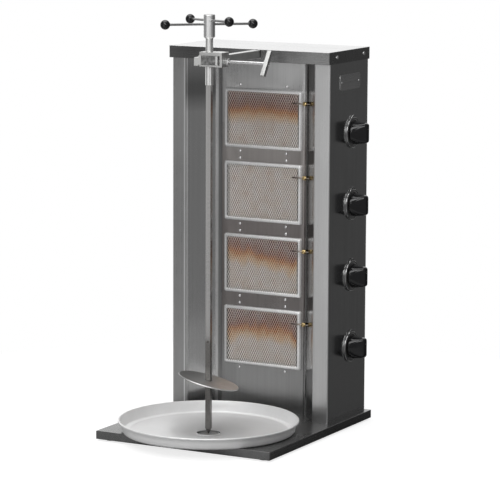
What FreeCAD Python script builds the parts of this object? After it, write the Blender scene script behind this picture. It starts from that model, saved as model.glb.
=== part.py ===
"""Vertical rotisserie broiler: four gas radiant burners in an upright recess, a turning spit and a drip pan.

Frame: millimetres, +Z up. The origin is on the floor, under the middle of the base.
+X is towards the side that carries the four gas knobs, -Y is the open front where the spit stands.
"""
import FreeCAD, Part
import Sketcher
import math
import os
import re
from FreeCAD import Placement, Rotation, Vector

doc = FreeCAD.newDocument("VerticalBroiler")
sheet = doc.addObject("Spreadsheet::Sheet", "Dims")

DIMENSIONS = [
    # feet and base tray
    ("foot_tall", 4), ("foot_radius", 13), ("foot_inset", 26), ("foot_bore", 3.2), ("foot_plate", 54),
    ("base_wide", 450), ("base_deep", 516), ("base_top", 23.2), ("plate", 1.5),
    ("dish_hole_radius", 100), ("rail_deep", 90),
    # housing
    ("side_x", 206.6), ("column_y", 63), ("column_wide", 39.5), ("side_back_y", 256.5),
    ("side_top", 884.5), ("return_wide", 22), ("wing_angle", 50), ("lip_y", 114.5), ("lip_end_x", 119.8),
    ("bend", 3),
    ("vent_wide", 120), ("vent_tall", 7), ("vent_gap", 22), ("vent_low_z", 640),
    # lid
    ("lid_x", 209.4), ("lid_front_y", 51.8), ("lid_back_y", 261), ("lid_top", 886), ("skirt_low", 857.8),
    # burner panel, a shallow tray with mounting flanges
    ("panel_y", 128), ("panel_x", 109), ("flange_wide", 16.5), ("flange_y", 116), ("panel_high", 861),
    # burners
    ("burner_x", 2), ("burner_high_z", 717), ("burner_pitch", 172.5),
    ("frame_wide", 204), ("frame_tall", 140), ("frame_front_y", 119), ("lip_wide", 8), ("frame_corner", 4),
    ("window_corner", 5),
    ("open_wide", 190), ("open_tall", 130), ("body_wide", 188), ("body_tall", 128), ("body_front_y", 124),
    ("body_back_y", 166), ("ear_wide", 214), ("ear_tall", 168), ("plaque_wide", 180), ("plaque_tall", 120),
    ("plaque_y", 127), ("plaque_thick", 12), ("mesh_y", 121), ("mesh_thick", 1.5),
    ("screw_x", 61), ("screw_z", 78), ("screw_head", 3.6), ("screw_shank", 1.9), ("screw_hole", 2.1),
    ("screw_long", 8), ("ear_thick", 3), ("chamber_rim", 6), ("chamber_wall", 4), ("neck_half", 12),
    ("neck_low_x", -90), ("neck_high_x", -40), ("port_inset", 6), ("port_half", 8), ("tube_low_x", -95),
    ("tube_high_x", 75), ("tube_end", 4), ("frame_lip", 2),
    ("probe_x", 88), ("nut_x", 116), ("probe_y", 107), ("probe_rise", 43), ("probe_radius", 2),
    ("probe_nut_flats", 9), ("probe_nut_long", 8), ("tab_wide", 3.5), ("tab_half", 4), ("lead_long", 22),
    # gas train
    ("knob_y", 179), ("knob_high_z", 692.3), ("knob_pitch", 168.3),
    ("mixer_radius", 16), ("mixer_bore", 13), ("valve_low_x", 163), ("valve_end_x", 203), ("valve_half", 15),
    ("manifold_x", 172), ("manifold_y", 206), ("manifold_radius", 12), ("inlet_z", 70), ("inlet_end_y", 282),
    ("inlet_radius", 10.5), ("inlet_bore", 7), ("inlet_hex", 27), ("inlet_hex_long", 7), ("pipe_radius", 4),
    ("injector_flats", 14), ("injector_x", 80), ("injector_long", 14), ("manifold_wall", 3),
    ("manifold_over", 40), ("shield_y", 228), ("shield_foot", 18), ("shield_gap", 6), ("shield_drop", 40),
    ("cover_screw", 4.2), ("vent_edge", 30), ("vent_column_x", 75), ("slot_gap", 2),
    # knobs
    ("bezel_radius", 36), ("bezel_cup", 28.4), ("bezel_thick", 4.9), ("pointer_tall", 43),
    ("pointer_half", 6),
    ("knob_radius", 27.3), ("skirt_long", 5), ("knob_end_radius", 22.5), ("cheek_start", 4),
    ("knob_near_x", 213.2), ("knob_far_x", 247.5), ("grip_half", 7.5),
    ("spindle_radius", 4), ("spindle_in_knob", 12), ("spindle_in_plunger", 11), ("plunger_radius", 7),
    ("plunger_long", 18), ("plunger_socket", 12), ("plunger_bore", 40),
    ("running_fit", 0.05),
    # name plate
    ("badge_y", 164), ("badge_z", 811.5), ("badge_wide", 104), ("badge_tall", 36), ("badge_thick", 1.2),
    ("badge_corner", 7), ("badge_rivet", 2.2), ("rivet_inset", 8),
    # spit and its pivot
    ("spit_y", -132), ("bar_side", 12), ("bar_shoulder", 29.8), ("bar_point", 13.4), ("journal_radius", 8.5),
    ("journal_low", 817.7), ("shoulder_side", 13.6), ("shoulder_top", 857.5),
    ("hub_radius", 13), ("hub_low", 922.5), ("hub_high", 976),
    ("rod_radius", 2.8), ("rod_reach", 107.5), ("rod_low_z", 954.3), ("rod_high_z", 963),
    ("rod_low_dip", -0.8), ("rod_high_dip", -1.95), ("ball_radius", 11), ("spare_hole", 2.1),
    ("spare_low_z", 185.8), ("spare_high_z", 230.8), ("tip_flat", 0.4),
    ("spit_phase", 8), ("disc_radius", 71), ("disc_thick", 3), ("disc_z", 139.8), ("disc_hole", 14.5),
    ("disc_tilt", 14.3), ("disc_lean", 28.2), ("pin_z", 133.6), ("pin_radius", 2.4), ("pin_long", 27),
    ("cup_radius", 24), ("cup_top", 17.2), ("cup_low", 9.2), ("socket_radius", 9.2), ("socket_foot", 0.9),
    ("socket_z", 14.4), ("stem_radius", 6), ("post_radius", 15),
    # drip pan
    ("pan_floor_radius", 195), ("pan_wall_radius", 199), ("pan_rim_radius", 206), ("pan_rim_z", 48.5),
    ("pan_sheet", 1.2), ("bead", 2.4), ("rib_radius", 182), ("rib_half", 2.5), ("rib_tall", 1.2),
    ("dish_radius", 94), ("dish_low_radius", 27), ("dish_drop", 8), ("collar_tall", 3),
    # spit support bracket
    ("arm_low_x", 13), ("arm_wide", 18), ("arm_tall", 18.5), ("arm_back_y", 236),
    ("yoke_left_x", -15), ("yoke_right_x", 43), ("yoke_front_y", -152), ("yoke_deep", 34),
    ("yoke_low", 860), ("yoke_high", 893), ("yoke_plate", 4), ("yoke_top_plate", 8), ("yoke_cheek", 6.3),
    ("yoke_low_bore", 10.3),
    ("web_thick", 4), ("jaw_left_x", -29), ("jaw_front_gap", 1.5), ("jaw_back", 13.7), ("jaw_wall", 12),
    ("jaw_end_gap", 4), ("jaw_block", 5.4), ("jaw_socket", 10), ("jaw_hook_x", -11.2),
    ("jaw_right_x", 35), ("jaw_low", 864.4), ("jaw_high", 884.4),
    ("jaw_bar", 6.5), ("jaw_back_bar", 3), ("jaw_recess", 3), ("hook_low", 861.5), ("hook_high", 880),
    ("screw_radius", 4), ("screw_height", 871.6), ("tee_x", 145),
    ("tee_side", 9.6), ("tee_long", 63), ("tee_tilt", -33), ("clamp_nut_long", 8), ("clamp_nut_flats", 15),
]

for row, (alias, value) in enumerate(DIMENSIONS, start=1):
    sheet.set("A%d" % row, alias)
    sheet.set("B%d" % row, str(value))
    sheet.setAlias("B%d" % row, alias)
doc.recompute()

ALIASES = re.compile(r"\b(" + "|".join(sorted((a for a, _ in DIMENSIONS), key=len, reverse=True)) + r")\b")
BURNERS = range(4)
parts = []


def cells(text):
    """Turn an expression in plain dimension names into one that reads the sheet."""
    return ALIASES.sub(r"Dims.\1", str(text))


def bind(obj, **sizes):
    for name, text in sizes.items():
        obj.setExpression(name, cells(text))
    return obj


def place(obj, x, y, z, rotation=None):
    """Put an object at x, y, z, each an expression, turned by a rotation."""
    obj.Placement = Placement(Vector(0, 0, 0), rotation or Rotation())
    for axis, text in zip("xyz", (x, y, z)):
        obj.setExpression("Placement.Base." + axis, cells(text))
    return obj


def block(name, x0, x1, y0, y1, z0, z1):
    """A box between two corners."""
    obj = doc.addObject("Part::Box", name)
    bind(obj, Length="(%s) - (%s)" % (x1, x0), Width="(%s) - (%s)" % (y1, y0),
         Height="(%s) - (%s)" % (z1, z0))
    return place(obj, x0, y0, z0)


DIRECTIONS = {"x": Vector(1, 0, 0), "y": Vector(0, 1, 0), "z": Vector(0, 0, 1)}


def rod(name, radius, length, x, y, z, along="z"):
    """A cylinder that starts at x, y, z and runs along an axis name or a direction."""
    direction = DIRECTIONS[along] if isinstance(along, str) else along
    obj = bind(doc.addObject("Part::Cylinder", name), Radius=radius, Height=length)
    return place(obj, x, y, z, Rotation(Vector(0, 0, 1), direction))


def hexagon(name, flats, length, x, y, z, along="z"):
    """A hexagonal prism given its width across flats."""
    obj = bind(doc.addObject("Part::Prism", name), Circumradius="(%s) / 2 / cos(30)" % flats, Height=length)
    obj.Polygon = 6
    return place(obj, x, y, z, Rotation(Vector(0, 0, 1), DIRECTIONS[along]))


def fuse(name, shapes):
    obj = doc.addObject("Part::MultiFuse", name)
    obj.Shapes = shapes
    obj.Refine = True
    return obj


def cut(name, base, tools):
    """Take one or more tools out of a base."""
    tool = tools[0] if len(tools) == 1 else fuse(name + "_tools", tools)
    obj = doc.addObject("Part::Cut", name)
    obj.Base = base
    obj.Tool = tool
    return obj


def group(name, shapes):
    """Several separate solids kept as one compound."""
    obj = doc.addObject("Part::Compound", name)
    obj.Links = shapes
    return obj


def part(label, obj):
    """Name a finished sub-part, which is written to a file of that name."""
    obj.Label = label
    parts.append(obj)
    return obj


def origin_plane(body, role):
    return [f for f in body.Origin.OriginFeatures if f.Role == role][0]


def outline(body, name, role, points):
    """A closed sketch whose corners are bound to the sheet, on one of the body's own planes."""
    sketch = body.newObject("Sketcher::SketchObject", name)
    sketch.AttachmentSupport = [(origin_plane(body, role), "")]
    sketch.MapMode = "FlatFace"
    numbers = [(number(u), number(v)) for u, v in points]
    count = len(points)
    for i in range(count):
        a = Vector(numbers[i][0], numbers[i][1], 0)
        b = Vector(numbers[(i + 1) % count][0], numbers[(i + 1) % count][1], 0)
        sketch.addGeometry(Part.LineSegment(a, b), False)
    for i in range(count):
        sketch.addConstraint(Sketcher.Constraint("Coincident", i, 2, (i + 1) % count, 1))
    for i, (u, v) in enumerate(points):
        for kind, text, value in (("DistanceX", u, numbers[i][0]), ("DistanceY", v, numbers[i][1])):
            index = sketch.addConstraint(Sketcher.Constraint(kind, -1, 1, i, 1, value))
            sketch.setExpression("Constraints[%d]" % index, cells(text))
    return sketch


def number(text):
    """The present value of an expression in dimension names."""
    return float(sheet.evalExpression(cells(text)))


def extrusion(name, points, low, high):
    """A plan outline raised from one height to another."""
    body = doc.addObject("PartDesign::Body", name)
    sketch = outline(body, name + "_plan", "XY_Plane", points)
    pad = body.newObject("PartDesign::Pad", name + "_pad")
    pad.Profile = sketch
    bind(pad, Length="(%s) - (%s)" % (high, low))
    body.Tip = pad
    return place(body, 0, 0, low)


def turned(name, points, x, y, z, rotation=None):
    """A half profile of radius and height, turned a full circle about the body's Z axis."""
    body = doc.addObject("PartDesign::Body", name)
    sketch = outline(body, name + "_profile", "XZ_Plane", points)
    spin = body.newObject("PartDesign::Revolution", name + "_turn")
    spin.Profile = sketch
    spin.ReferenceAxis = (sketch, ["V_Axis"])
    spin.Angle = 360
    body.Tip = spin
    return place(body, x, y, z, rotation)


def rounded(obj, radius_at, axis):
    """A fillet on each edge along an axis, with the radius that a rule gives for its place."""
    doc.recompute()
    fillet = doc.addObject("Part::Fillet", obj.Name + "_rounded")
    fillet.Base = obj
    chosen = []
    for k, edge in enumerate(obj.Shape.Edges, start=1):
        middle = edge.CenterOfMass
        lies = getattr(edge.tangentAt(edge.FirstParameter), axis)
        place_in_plane = [getattr(middle, other) for other in "xyz" if other != axis]
        radius = radius_at(*place_in_plane)
        if abs(lies) > 0.9 and radius:
            chosen.append((k, radius, radius))
    fillet.Edges = chosen
    return fillet


def burner_z(i):
    """Height of the middle of a burner, counted from the top one."""
    return "(burner_high_z - %d * burner_pitch)" % i


def knob_z(i):
    return "(knob_high_z - %d * knob_pitch)" % i


# ---------------------------------------------------------------- base and housing

FOOT_CORNERS = [(sx, sy) for sx in (-1, 1) for sy in (-1, 1)]


def foot_rods(name, radius, low, high):
    """One upright rod at each foot."""
    return [rod("%s_%d_%d" % (name, sx + 1, sy + 1), radius, "(%s) - (%s)" % (high, low),
                "%d * (base_wide / 2 - foot_inset)" % sx, "%d * (base_deep / 2 - foot_inset)" % sy, low)
            for sx, sy in FOOT_CORNERS]


def foot_plates():
    """Plates across the tray's lower corners, which the feet are fixed under."""
    plates = []
    for sx, sy in FOOT_CORNERS:
        x = ["%d * (base_wide / 2 - plate)" % sx, "%d * (base_wide / 2 - foot_plate)" % sx][::sx]
        y = ["%d * (base_deep / 2 - plate)" % sy, "%d * (base_deep / 2 - foot_plate)" % sy][::sy]
        plates.append(block("foot_plate_%d_%d" % (sx + 1, sy + 1), x[1], x[0], y[1], y[0], "foot_tall",
                            "foot_tall + plate"))
    return plates


def make_base_tray():
    """Folded tray, open below, with a round hole for the dished pan and a cross rail for the pivot."""
    outer = block("base_outer", "-base_wide / 2", "base_wide / 2", "-base_deep / 2", "base_deep / 2",
                  "foot_tall", "base_top")
    inner = block("base_inner", "plate - base_wide / 2", "base_wide / 2 - plate", "plate - base_deep / 2",
                  "base_deep / 2 - plate", "foot_tall", "base_top - plate")
    hole = rod("base_hole", "dish_hole_radius", "base_top", 0, "spit_y", "foot_tall")
    rail = block("base_rail", "plate - base_wide / 2", "base_wide / 2 - plate", "spit_y - rail_deep / 2",
                 "spit_y + rail_deep / 2", "foot_tall", "foot_tall + plate")
    solid = fuse("base_tray_all", [cut("base_shell", outer, [inner, hole]), rail] + foot_plates())
    bores = foot_rods("base_bore", "foot_bore", "foot_tall", "foot_tall + plate")
    return part("base_tray", cut("base_tray_drilled", solid, bores))


def make_rubber_feet():
    """Round feet, each bored for a bolt that goes through the counter."""
    pads = group("feet", foot_rods("foot", "foot_radius", 0, "foot_tall"))
    return part("rubber_feet", cut("feet_bored", pads, foot_rods("foot_hole", "foot_bore", 0, "foot_tall")))


def side_outline(s):
    """Plan of a folded side: back return, side, front column, flared wing and lip."""
    inner = "(side_x - column_wide)"
    wing_x = "(side_x - column_wide - (lip_y - column_y) / tan(wing_angle))"
    ease = "plate * tan(wing_angle / 2)"
    points = [
        ("side_x - return_wide", "side_back_y"), ("side_x", "side_back_y"), ("side_x", "column_y"),
        (inner, "column_y"), (wing_x, "lip_y"), ("lip_end_x", "lip_y"), ("lip_end_x", "lip_y + plate"),
        (wing_x + " + " + ease, "lip_y + plate"), (inner + " + " + ease, "column_y + plate"),
        ("side_x - plate", "column_y + plate"), ("side_x - plate", "side_back_y - plate"),
        ("side_x - return_wide", "side_back_y - plate"),
    ]
    return [("%d * (%s)" % (s, u), v) for u, v in points]


def side_bend(x, y):
    """Bend radius of an upright edge of a side panel: outside and inside of the column's two folds."""
    column = number("side_x - column_wide")
    if y < number("column_y") + 0.1:
        return number("bend")
    if y < number("column_y + plate") + 0.1 and abs(x) > column:
        return number("bend - plate")
    return 0


def make_side_panel(label, s):
    folded = extrusion(label + "_sheet", side_outline(s), "base_top", "side_top")
    sheet_metal = rounded(folded, side_bend, "z")
    tools = []
    if s > 0:
        for i in BURNERS:
            tools.append(rod("spindle_hole_%d" % i, "spindle_radius + 1.5", 20, "side_x - 10", "knob_y",
                             knob_z(i), "x"))
            tools.append(rod("lead_hole_%d" % i, "probe_radius + 0.8", 22, "nut_x + 9", "probe_y",
                             burner_z(i) + " + probe_rise", "x"))
    else:
        for i in range(5):
            tools.append(block("side_vent_%d" % i, "-side_x - 5", "5 - side_x",
                               "side_back_y - vent_wide - vent_edge", "side_back_y - vent_edge",
                               "vent_low_z + %d * vent_gap" % i,
                               "vent_low_z + %d * vent_gap + vent_tall" % i))
    return part(label, cut(label + "_drilled", sheet_metal, tools))


def make_back_panel():
    """Flat back with two columns of cooling slots and a hole for the gas inlet."""
    flat = block("back_flat", "-side_x", "side_x", "side_back_y", "side_back_y + plate", "base_top",
                 "side_top")
    slots = []
    for i in range(8):
        for s in (-1, 1):
            low = "vent_low_z + %d * vent_gap" % i
            slots.append(block("back_slot_%d_%d" % (i, s + 1), "%d * vent_column_x - vent_wide / 2" % s,
                               "%d * vent_column_x + vent_wide / 2" % s, "side_back_y - 5", "side_back_y + 5",
                               low, low + " + vent_tall"))
    slots.append(rod("inlet_hole", "inlet_radius + 1", 20, "manifold_x", "side_back_y - 5", "inlet_z", "y"))
    return part("back_panel", cut("back_panel_cut", flat, slots))


def make_top_lid():
    """Turned-down lid with a slot in its front skirt for the support arm."""
    outer = block("lid_outer", "-lid_x", "lid_x", "lid_front_y", "lid_back_y", "skirt_low", "lid_top")
    inner = block("lid_inner", "plate - lid_x", "lid_x - plate", "lid_front_y + plate", "lid_back_y - plate",
                  "skirt_low", "lid_top - plate")
    slot = block("lid_slot", "arm_low_x - slot_gap", "arm_low_x + arm_wide + slot_gap", "lid_front_y - 5",
                 "lid_front_y + 5", "side_top - arm_tall - slot_gap", "side_top")
    return part("top_lid", cut("top_lid_cut", outer, [inner, slot]))


def make_burner_panel():
    """Flat sheet at the back of the recess, with burner openings and screw holes."""
    sheet = block("panel_sheet", "-panel_x", "panel_x", "panel_y", "panel_y + plate",
                  "base_top", "panel_high")
    tools = []
    for i in BURNERS:
        z = burner_z(i)
        tools.append(block("panel_opening_%d" % i, "burner_x - open_wide / 2", "burner_x + open_wide / 2",
                           "panel_y - 5", "panel_y + 5", z + " - open_tall / 2", z + " + open_tall / 2"))
        for sx in (-1, 1):
            for sz in (-1, 1):
                tools.append(rod("panel_hole_%d_%d_%d" % (i, sx + 1, sz + 1), "screw_hole", 12,
                                 "%d * screw_x" % sx, "panel_y - 5", z + " + %d * screw_z" % sz, "y"))
    return part("burner_panel", cut("burner_panel_cut", sheet, tools))


def make_panel_sides():
    """Slanting strips that carry the flat sheet, each with a flange behind the lip of its wing."""
    slant = "(panel_x + panel_y - flange_y)"
    ease = " + plate * tan(22.5)"
    points = [("panel_x", "panel_y"), (slant, "flange_y"), ("panel_x + flange_wide", "flange_y"),
              ("panel_x + flange_wide", "flange_y + plate"), (slant + ease, "flange_y + plate"),
              ("panel_x" + ease, "panel_y + plate"), ("panel_x", "panel_y + plate")]
    mirrored = [("-(%s)" % x, y) for x, y in reversed(points)]
    strips = [extrusion("panel_side_right", points, "base_top", "panel_high"),
              extrusion("panel_side_left", mirrored, "base_top", "panel_high")]
    return part("panel_sides", group("panel_sides_all", strips))


def make_heat_shield():
    """Plate between the burners and the back, standing in the base and turned at its foot."""
    wall = block("shield_wall", "-side_x + plate", "manifold_x - manifold_radius - shield_gap", "shield_y",
                 "shield_y + plate", "base_top", "panel_high - shield_drop")
    foot = block("shield_foot", "-side_x + plate", "manifold_x - manifold_radius - shield_gap", "shield_y",
                 "shield_y + shield_foot", "base_top", "base_top + plate")
    return part("heat_shield", fuse("heat_shield_all", [wall, foot]))


def dome_screw(name, radius, x, y, z, rotation):
    """A low domed head with its underside at x, y, z, pointing along the turned Z axis."""
    profile = [(0, 0), (radius, 0), (radius + " * 0.9", radius + " * 0.35"),
               (radius + " * 0.55", radius + " * 0.55"), (0, radius + " * 0.62")]
    return turned(name, profile, x, y, z, rotation)


TO_RIGHT = Rotation(Vector(0, 1, 0), 90)
TO_LEFT = Rotation(Vector(0, 1, 0), -90)
TO_FRONT = Rotation(Vector(1, 0, 0), 90)
TO_BACK = Rotation(Vector(1, 0, 0), -90)


def make_cover_screws():
    """Screws of the lid skirt and of the back panel."""
    heads = []
    for s, turn in ((1, TO_RIGHT), (-1, TO_LEFT)):
        for k, y in enumerate(("column_y + 28", "lid_back_y - 32")):
            heads.append(dome_screw("lid_screw_%d_%d" % (s + 1, k), "cover_screw", "%d * lid_x" % s, y,
                                    "skirt_low + 14.7", turn))
        for k, z in enumerate(("base_top + 30", "vent_low_z - 210", "vent_low_z - 30")):
            heads.append(dome_screw("back_screw_%d_%d" % (s + 1, k), "cover_screw",
                                    "%d * (side_x - return_wide / 2)" % s, "side_back_y + plate", z, TO_BACK))
    return part("cover_screws", group("cover_screw_set", heads))


# ---------------------------------------------------------------- burners

def make_burner_body(i):
    """Cast burner box with a recess for the plaque, mounting ears and a mixing tube behind."""
    z = burner_z(i)
    half_w = "body_wide / 2"
    half_t = "body_tall / 2"
    name = "burner_body_%d" % (i + 1)
    box = block(name + "_box", "burner_x - " + half_w, "burner_x + " + half_w, "body_front_y", "body_back_y",
                z + " - " + half_t, z + " + " + half_t)
    ears = block(name + "_ears", "-ear_wide / 2", "ear_wide / 2", "panel_y + plate",
                 "panel_y + plate + ear_thick", z + " - ear_tall / 2", z + " + ear_tall / 2")
    tube = rod(name + "_tube", "mixer_radius", "tube_high_x - tube_low_x", "tube_low_x", "knob_y",
               knob_z(i), "x")
    neck = block(name + "_neck", "neck_low_x", "neck_high_x", "body_back_y - chamber_wall", "knob_y",
                 knob_z(i) + " - neck_half", knob_z(i) + " + neck_half")
    pocket = block(name + "_pocket", "burner_x - plaque_wide / 2", "burner_x + plaque_wide / 2",
                   "body_front_y", "plaque_y + plaque_thick", z + " - plaque_tall / 2",
                   z + " + plaque_tall / 2")
    chamber = block(name + "_chamber", "burner_x - plaque_wide / 2 + chamber_rim",
                    "burner_x + plaque_wide / 2 - chamber_rim", "plaque_y", "body_back_y - chamber_wall",
                    z + " - plaque_tall / 2 + chamber_rim", z + " + plaque_tall / 2 - chamber_rim")
    bore = rod(name + "_bore", "mixer_bore", "tube_high_x - tube_low_x", "tube_low_x + tube_end", "knob_y",
               knob_z(i), "x")
    port = block(name + "_port", "neck_low_x + port_inset", "neck_high_x - port_inset",
                 "body_back_y - 2 * chamber_wall", "knob_y", knob_z(i) + " - port_half",
                 knob_z(i) + " + port_half")
    tools = [pocket, chamber, bore, port]
    for sx in (-1, 1):
        for sz in (-1, 1):
            tools.append(rod(name + "_hole_%d_%d" % (sx + 1, sz + 1), "screw_shank + 0.1", "screw_long + 6",
                             "%d * screw_x" % sx, "panel_y", z + " + %d * screw_z" % sz, "y"))
    solid = fuse(name + "_cast", [box, ears, tube, neck])
    return part(name, cut(name + "_machined", solid, tools))


def make_burner_frame(i):
    """Pressed trim frame around a burner: front lip and side walls, with rounded corners."""
    z = burner_z(i)
    name = "burner_frame_%d" % (i + 1)
    w, t, f = "frame_wide / 2", "frame_tall / 2", "frame_front_y"
    outer = block(name + "_outer", "burner_x - " + w, "burner_x + " + w, f, "panel_y", z + " - " + t,
                  z + " + " + t)
    inner = block(name + "_inner", "burner_x - " + w + " + plate", "burner_x + " + w + " - plate",
                  f + " + frame_lip", "panel_y", z + " - " + t + " + plate", z + " + " + t + " - plate")
    window = block(name + "_window", "burner_x - " + w + " + lip_wide", "burner_x + " + w + " - lip_wide", f,
                   "panel_y", z + " - " + t + " + lip_wide", z + " + " + t + " - lip_wide")
    skin = rounded(outer, lambda x, z: number("frame_corner"), "y")
    hole = rounded(window, lambda x, z: number("window_corner"), "y")
    return part(name, cut(name + "_pressed", skin, [inner, hole]))


def slabs(name, wide, tall, front, thick):
    """One flat slab for each burner."""
    made = []
    for i in BURNERS:
        z = burner_z(i)
        made.append(block("%s_%d" % (name, i), "burner_x - (%s) / 2" % wide, "burner_x + (%s) / 2" % wide,
                          front, "%s + %s" % (front, thick), "%s - (%s) / 2" % (z, tall),
                          "%s + (%s) / 2" % (z, tall)))
    return part(name, group(name + "_set", made))


def make_thermocouples():
    """Probe over the edge of each mesh, its brass nut on a tab of the wing's lip, and the lead."""
    probes, nuts, leads = [], [], []
    for i in BURNERS:
        z = burner_z(i) + " + probe_rise"
        probes.append(rod("probe_%d" % i, "probe_radius", "nut_x - probe_x", "probe_x", "probe_y", z, "x"))
        nut = hexagon("nut_%d" % i, "probe_nut_flats", "probe_nut_long", "nut_x", "probe_y", z, "x")
        tab = block("tab_%d" % i, "nut_x + probe_nut_long / 2", "nut_x + probe_nut_long / 2 + tab_wide",
                    "probe_y + probe_radius", "lip_y", z + " - tab_half", z + " + tab_half")
        nuts.append(fuse("nut_with_tab_%d" % i, [nut, tab]))
        leads.append(rod("lead_%d" % i, "probe_radius * 0.7", "lead_long", "nut_x + probe_nut_long",
                         "probe_y", z, "x"))
    part("thermocouple_probes", group("probe_set", probes))
    part("thermocouple_nuts", group("nut_set", nuts))
    part("thermocouple_leads", group("lead_set", leads))


def make_burner_screws():
    """Domed screws, four to a burner, through the panel into the ears."""
    screws = []
    for i in BURNERS:
        for sx in (-1, 1):
            for sz in (-1, 1):
                tag = "%d_%d_%d" % (i, sx + 1, sz + 1)
                z = burner_z(i) + " + %d * screw_z" % sz
                x = "%d * screw_x" % sx
                head = dome_screw("screw_head_" + tag, "screw_head", x, "panel_y", z, TO_FRONT)
                shank = rod("screw_shank_" + tag, "screw_shank", "screw_long", x, "panel_y", z, "y")
                screws.append(fuse("screw_" + tag, [head, shank]))
    return part("burner_screws", group("burner_screw_set", screws))


# ---------------------------------------------------------------- gas train

def make_gas_injectors():
    """Hexagonal injector on the end of each pipe, just outside the mouth of the mixing tube."""
    made = []
    for i in BURNERS:
        made.append(hexagon("injector_%d" % i, "injector_flats", "injector_long", "injector_x", "knob_y",
                            knob_z(i), "x"))
    return part("gas_injectors", group("injector_set", made))


def make_burner_pipes():
    """Straight tube from each valve to its injector."""
    made = []
    for i in BURNERS:
        made.append(rod("pipe_%d" % i, "pipe_radius", "valve_low_x - injector_x - injector_long",
                        "injector_x + injector_long", "knob_y", knob_z(i), "x"))
    return part("burner_pipes", group("pipe_set", made))


def make_gas_valves():
    """Block valves with a bore for the plunger, each tapped from the manifold."""
    made = []
    for i in BURNERS:
        z = knob_z(i)
        body = block("valve_%d" % i, "valve_low_x", "valve_end_x", "knob_y - valve_half",
                     "knob_y + valve_half", z + " - valve_half", z + " + valve_half")
        bore = rod("valve_bore_%d" % i, "plunger_radius + running_fit", "plunger_bore",
                   "valve_end_x - plunger_bore * 0.65", "knob_y", z, "x")
        made.append(cut("valve_bored_%d" % i, body, [bore]))
    return part("gas_valves", group("valve_set", made))


def make_gas_manifold():
    """Upright pipe behind the valves, standing in the base."""
    tall = "knob_high_z + manifold_over - base_top"
    outer = rod("manifold_pipe", "manifold_radius", tall, "manifold_x", "manifold_y", "base_top")
    bore = rod("manifold_bore", "manifold_radius - manifold_wall", tall + " - 2 * manifold_wall",
               "manifold_x", "manifold_y", "base_top + manifold_wall")
    socket = rod("manifold_socket", "inlet_radius", 20, "manifold_x", "manifold_y", "inlet_z", "y")
    return part("gas_manifold", cut("manifold_cut", outer, [bore, socket]))


def make_gas_inlet():
    """Threaded inlet that comes out through the back, with a hexagon against the panel."""
    long = "inlet_end_y - manifold_y"
    pipe = rod("inlet_pipe", "inlet_radius", long, "manifold_x", "manifold_y", "inlet_z", "y")
    collar = hexagon("inlet_collar", "inlet_hex", "inlet_hex_long", "manifold_x", "side_back_y + plate",
                     "inlet_z", "y")
    bore = rod("inlet_channel", "inlet_bore", long, "manifold_x", "manifold_y", "inlet_z", "y")
    return part("gas_inlet_fitting", cut("inlet_bored", fuse("inlet_solid", [pipe, collar]), [bore]))


# ---------------------------------------------------------------- controls

def make_valve_plunger(i):
    name = "valve_plunger_%d" % (i + 1)
    plunger = rod(name + "_rod", "plunger_radius", "plunger_long", "valve_end_x - plunger_long - 2",
                  "knob_y", knob_z(i), "x")
    socket = rod(name + "_socket", "spindle_radius + running_fit", "plunger_socket",
                 "valve_end_x - plunger_socket", "knob_y", knob_z(i), "x")
    return part(name, cut(name + "_bored", plunger, [socket]))


def make_valve_spindle(i):
    name = "valve_spindle_%d" % (i + 1)
    near = "valve_end_x - spindle_in_plunger"
    long = "knob_near_x + spindle_in_knob - (%s)" % near
    return part(name, rod(name + "_rod", "spindle_radius", long, near, "knob_y", knob_z(i), "x"))


def make_knob(i):
    """Tapered round knob with two slanting cheeks that leave an upright finger grip at its end."""
    name = "knob_%d" % (i + 1)
    z = knob_z(i)
    r, end, long = "knob_radius", "knob_end_radius", "knob_far_x - knob_near_x"
    profile = [(0, 0), (r + " - 0.6", 0), (r, "0.8"), (r, "skirt_long"), (end, long + " - 4"),
               (end + " - 1.2", long + " - 1.2"), (end + " - 4", long), (0, long)]
    solid = turned(name + "_round", profile, "knob_near_x", "knob_y", z, TO_RIGHT)
    tools = [rod(name + "_bore", "spindle_radius", "spindle_in_knob", "knob_near_x", "knob_y", z, "x")]
    for s in (-1, 1):
        start, stop, out = "knob_near_x + cheek_start", "knob_far_x + 1", "2 * " + r
        plan = [(x, "knob_y + %d * (%s)" % (s, y))
                for x, y in ((start, r), (stop, "grip_half"), (stop, out), (start, out))]
        tools.append(extrusion("%s_cheek_%d" % (name, s + 1), plan, z + " - " + out, z + " + " + out))
    return part(name, cut(name + "_formed", solid, tools))


def make_knob_bezels():
    """Round bezels with a raised rim that the knob sinks into when pushed, and a pointer at the top."""
    made = []
    for i in BURNERS:
        profile = [("spindle_radius + 3", 0), ("bezel_radius", 0), ("bezel_radius", "1.6"),
                   ("bezel_radius - 1", "bezel_thick - 1"), ("bezel_radius - 3", "bezel_thick"),
                   ("bezel_cup + 1", "bezel_thick"), ("bezel_cup", "bezel_thick - 1"), ("bezel_cup", "plate"),
                   ("spindle_radius + 3", "plate")]
        ring = turned("bezel_ring_%d" % i, profile, "side_x", "knob_y", knob_z(i), TO_RIGHT)
        pointer = block("bezel_pointer_%d" % i, "side_x", "side_x + bezel_thick - 1.5",
                        "knob_y - pointer_half", "knob_y + pointer_half",
                        knob_z(i) + " + bezel_radius - 4", knob_z(i) + " + pointer_tall")
        made.append(fuse("bezel_%d" % i, [ring, pointer]))
    return part("knob_bezels", group("bezel_set", made))


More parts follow.
